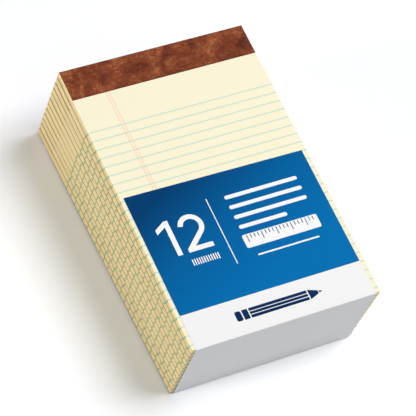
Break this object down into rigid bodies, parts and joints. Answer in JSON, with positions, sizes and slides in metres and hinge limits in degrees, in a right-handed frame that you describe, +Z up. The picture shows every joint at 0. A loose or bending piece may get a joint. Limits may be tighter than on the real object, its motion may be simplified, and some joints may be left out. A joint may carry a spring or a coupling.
{
  "type": "pack of writing pads",
  "caption": "Pack of lined yellow writing pads with brown binding strips over their heads, held together by a printed blue and white paper sleeve round the tails.",
  "frame": {"origin": "centre of the pack's outline on the surface it lies on", "axes": "+Y along the pads' length toward the bound heads, +X across the rules to the reader's right, +Z up through the stack, out of the top page"},
  "size_m": [0.1292, 0.2106, 0.0715],
  "materials": {
    "paper": "matt canary paper with pale rules",
    "chipboard": "matt grey-brown chipboard",
    "leatherette": "mottled brown grained strip, slight sheen",
    "wire": "bright galvanised wire",
    "sleeve_paper": "coated paper, blue field and white band, satin"
  },
  "bodies": {
    "root": {"pad_01_board": "chipboard", "pad_01_staples": "wire", "pad_01_pages": "paper", "pad_01_binding": "leatherette", "pad_02_board": "chipboard", "pad_02_staples": "wire", "pad_02_pages": "paper", "pad_02_binding": "leatherette", "pad_03_board": "chipboard", "pad_03_staples": "wire", "pad_03_pages": "paper", "pad_03_binding": "leatherette", "pad_04_board": "chipboard", "pad_04_staples": "wire", "pad_04_pages": "paper", "pad_04_binding": "leatherette", "pad_05_board": "chipboard", "pad_05_staples": "wire", "pad_05_pages": "paper", "pad_05_binding": "leatherette", "pad_06_board": "chipboard", "pad_06_staples": "wire", "pad_06_pages": "paper", "pad_06_binding": "leatherette", "pad_07_board": "chipboard", "pad_07_staples": "wire", "pad_07_pages": "paper", "pad_07_binding": "leatherette", "pad_08_board": "chipboard", "pad_08_staples": "wire", "pad_08_pages": "paper", "pad_08_binding": "leatherette", "pad_09_board": "chipboard", "pad_09_staples": "wire", "pad_09_pages": "paper", "pad_09_binding": "leatherette", "pad_10_board": "chipboard", "pad_10_staples": "wire", "pad_10_pages": "paper", "pad_10_binding": "leatherette", "pad_11_board": "chipboard", "pad_11_staples": "wire", "pad_11_pages": "paper", "pad_11_binding": "leatherette", "pad_12_board": "chipboard", "pad_12_staples": "wire", "pad_12_pages": "paper", "pad_12_binding": "leatherette", "sleeve": "sleeve_paper"}
  },
  "joints": []
}
